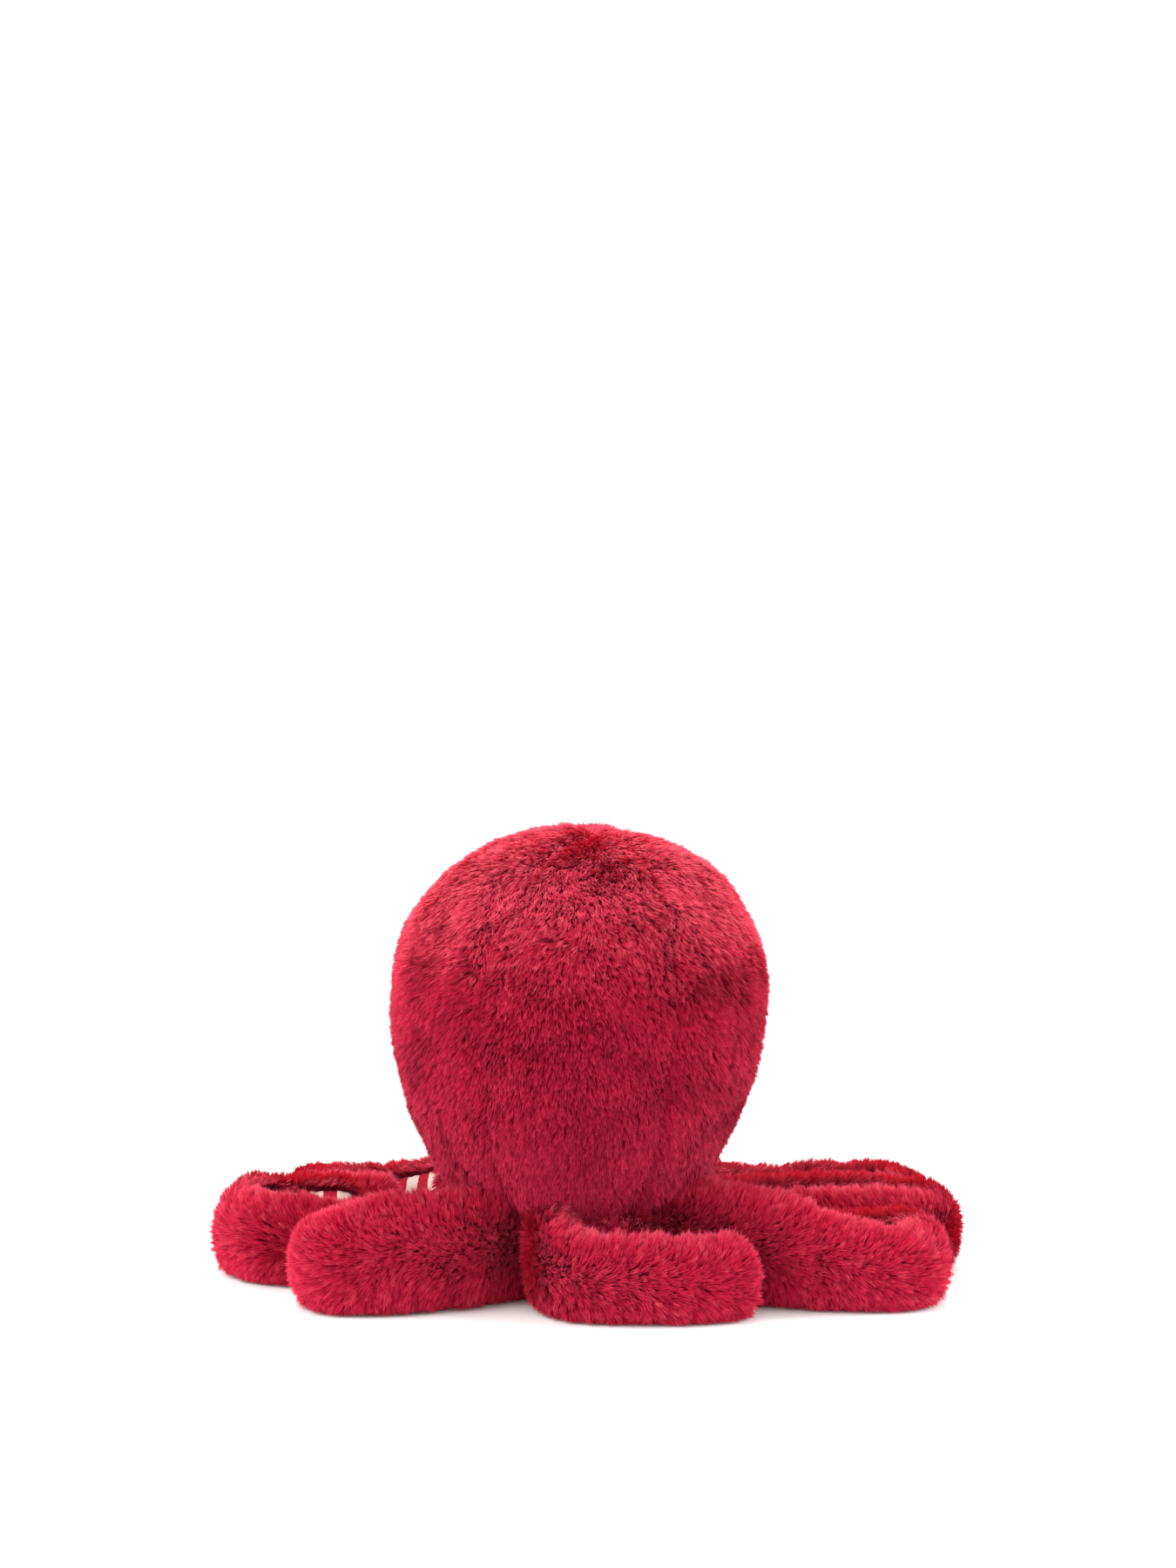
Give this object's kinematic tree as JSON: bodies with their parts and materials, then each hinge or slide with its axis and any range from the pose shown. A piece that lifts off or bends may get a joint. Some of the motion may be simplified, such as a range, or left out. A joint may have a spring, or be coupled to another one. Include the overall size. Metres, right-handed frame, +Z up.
{
  "type": "octopus soft toy",
  "caption": "Stuffed plush octopus with a tall gored head and curling plush arms lined in striped cotton, which lift and bend; it stands on a weighted round underside.",
  "frame": {"origin": "on the floor, at the middle of the round underside panel, straight under the middle of the head", "axes": "+Z up through the crown of the head, +Y the way the face looks, +X to the right seen from behind the head"},
  "size_m": [0.4285, 0.3013, 0.258],
  "materials": {
    "red_plush": "matte",
    "striped_lining": "matte",
    "polyester_filling": "matte",
    "bag_cloth": "matte",
    "pellets": "matte",
    "black_eye": "gloss",
    "washer": "matte",
    "thread": "matte"
  },
  "bodies": {
    "body": {"head_gore_1": "red_plush", "head_gore_2": "red_plush", "head_gore_3": "red_plush", "head_gore_4": "red_plush", "head_gore_5": "red_plush", "head_gore_6": "red_plush", "head_filling": "polyester_filling", "eye_left": "black_eye", "eye_right": "black_eye", "eye_washers": "washer", "mouth_thread": "thread", "underside_panel": "red_plush", "pellet_bag": "bag_cloth", "pellets": "pellets", "arm_root_covers": "red_plush", "arm_root_fillings": "polyester_filling"},
    "arm_1": {"arm_1_upper_cover": "red_plush", "arm_1_upper_lining": "striped_lining", "arm_1_filling": "polyester_filling"},
    "arm_1_tip": {"arm_1_tip_cover": "red_plush", "arm_1_tip_lining": "striped_lining"},
    "arm_2": {"arm_2_upper_cover": "red_plush", "arm_2_upper_lining": "striped_lining", "arm_2_filling": "polyester_filling"},
    "arm_2_tip": {"arm_2_tip_cover": "red_plush", "arm_2_tip_lining": "striped_lining"},
    "arm_3": {"arm_3_upper_cover": "red_plush", "arm_3_upper_lining": "striped_lining", "arm_3_filling": "polyester_filling"},
    "arm_3_tip": {"arm_3_tip_cover": "red_plush", "arm_3_tip_lining": "striped_lining"},
    "arm_4": {"arm_4_upper_cover": "red_plush", "arm_4_upper_lining": "striped_lining", "arm_4_filling": "polyester_filling"},
    "arm_4_tip": {"arm_4_tip_cover": "red_plush", "arm_4_tip_lining": "striped_lining"},
    "arm_5": {"arm_5_upper_cover": "red_plush", "arm_5_upper_lining": "striped_lining", "arm_5_filling": "polyester_filling"},
    "arm_5_tip": {"arm_5_tip_cover": "red_plush", "arm_5_tip_lining": "striped_lining"},
    "arm_6": {"arm_6_upper_cover": "red_plush", "arm_6_upper_lining": "striped_lining", "arm_6_filling": "polyester_filling"},
    "arm_6_tip": {"arm_6_tip_cover": "red_plush", "arm_6_tip_lining": "striped_lining"},
    "arm_7": {"arm_7_upper_cover": "red_plush", "arm_7_upper_lining": "striped_lining", "arm_7_filling": "polyester_filling"},
    "arm_7_tip": {"arm_7_tip_cover": "red_plush", "arm_7_tip_lining": "striped_lining"},
    "arm_8": {"arm_8_upper_cover": "red_plush", "arm_8_upper_lining": "striped_lining", "arm_8_filling": "polyester_filling"},
    "arm_8_tip": {"arm_8_tip_cover": "red_plush", "arm_8_tip_lining": "striped_lining"}
  },
  "joints": [
    {"name": "arm_1_lift", "type": "hinge", "parent": "body", "child": "arm_1", "pos_m": [0.01996, -0.09256, 0.022], "axis": [0.1716, 0.9852, 0], "range_deg": [-45, 0]},
    {"name": "arm_1_curl", "type": "hinge", "parent": "arm_1", "child": "arm_1_tip", "pos_m": [0.05781, -0.09348, 0.022], "axis": [0.1237, -0.9923, 0], "range_deg": [0, 60], "deforming": ["arm_1_filling"]},
    {"name": "arm_2_lift", "type": "hinge", "parent": "body", "child": "arm_2", "pos_m": [0.11338, -0.06069, 0.022], "axis": [-0.2306, -0.973, 0], "range_deg": [0, 60]},
    {"name": "arm_2_curl", "type": "hinge", "parent": "arm_2", "child": "arm_2_tip", "pos_m": [0.19234, -0.04814, 0.022], "axis": [0, -1, 0], "range_deg": [-90, 0], "deforming": ["arm_2_filling"]},
    {"name": "arm_3_lift", "type": "hinge", "parent": "body", "child": "arm_3", "pos_m": [0.11846, 0.03278, 0.022], "axis": [-0.1749, 0.9846, 0], "range_deg": [-60, 0]},
    {"name": "arm_3_curl", "type": "hinge", "parent": "arm_3", "child": "arm_3_tip", "pos_m": [0.2056, 0.02033, 0.022], "axis": [0, 1, 0], "range_deg": [0, 90], "deforming": ["arm_3_filling"]},
    {"name": "arm_4_lift", "type": "hinge", "parent": "body", "child": "arm_4", "pos_m": [0.11289, 0.09613, 0.022], "axis": [0.3604, -0.9328, 0], "range_deg": [0, 60]},
    {"name": "arm_4_curl", "type": "hinge", "parent": "arm_4", "child": "arm_4_tip", "pos_m": [0.19493, 0.08948, 0.022], "axis": [0, -1, 0], "range_deg": [-90, 0], "deforming": ["arm_4_filling"]},
    {"name": "arm_5_lift", "type": "hinge", "parent": "body", "child": "arm_5", "pos_m": [-0.00106, 0.11189, 0.022], "axis": [-0.9986, -0.0523, 0], "range_deg": [-60, 0]},
    {"name": "arm_5_curl", "type": "hinge", "parent": "arm_5", "child": "arm_5_tip", "pos_m": [0.01346, 0.17874, 0.022], "axis": [-0.9986, -0.0523, 0], "range_deg": [0, 90], "deforming": ["arm_5_filling"]},
    {"name": "arm_6_lift", "type": "hinge", "parent": "body", "child": "arm_6", "pos_m": [-0.09074, 0.0872, 0.022], "axis": [0.4204, 0.9074, 0], "range_deg": [0, 60]},
    {"name": "arm_6_curl", "type": "hinge", "parent": "arm_6", "child": "arm_6_tip", "pos_m": [-0.16157, 0.08024, 0.022], "axis": [0, 1, 0], "range_deg": [-90, 0], "deforming": ["arm_6_filling"]},
    {"name": "arm_7_lift", "type": "hinge", "parent": "body", "child": "arm_7", "pos_m": [-0.11645, -0.01116, 0.022], "axis": [0.0662, -0.9978, 0], "range_deg": [-60, 0]},
    {"name": "arm_7_curl", "type": "hinge", "parent": "arm_7", "child": "arm_7_tip", "pos_m": [-0.19491, 0.00948, 0.022], "axis": [0, -1, 0], "range_deg": [0, 90], "deforming": ["arm_7_filling"]},
    {"name": "arm_8_lift", "type": "hinge", "parent": "body", "child": "arm_8", "pos_m": [-0.07161, -0.0644, 0.022], "axis": [-0.4333, 0.9012, 0], "range_deg": [0, 35]},
    {"name": "arm_8_curl", "type": "hinge", "parent": "arm_8", "child": "arm_8_tip", "pos_m": [-0.14495, -0.05919, 0.022], "axis": [0, 1, 0], "range_deg": [-90, 0], "deforming": ["arm_8_filling"]}
  ]
}
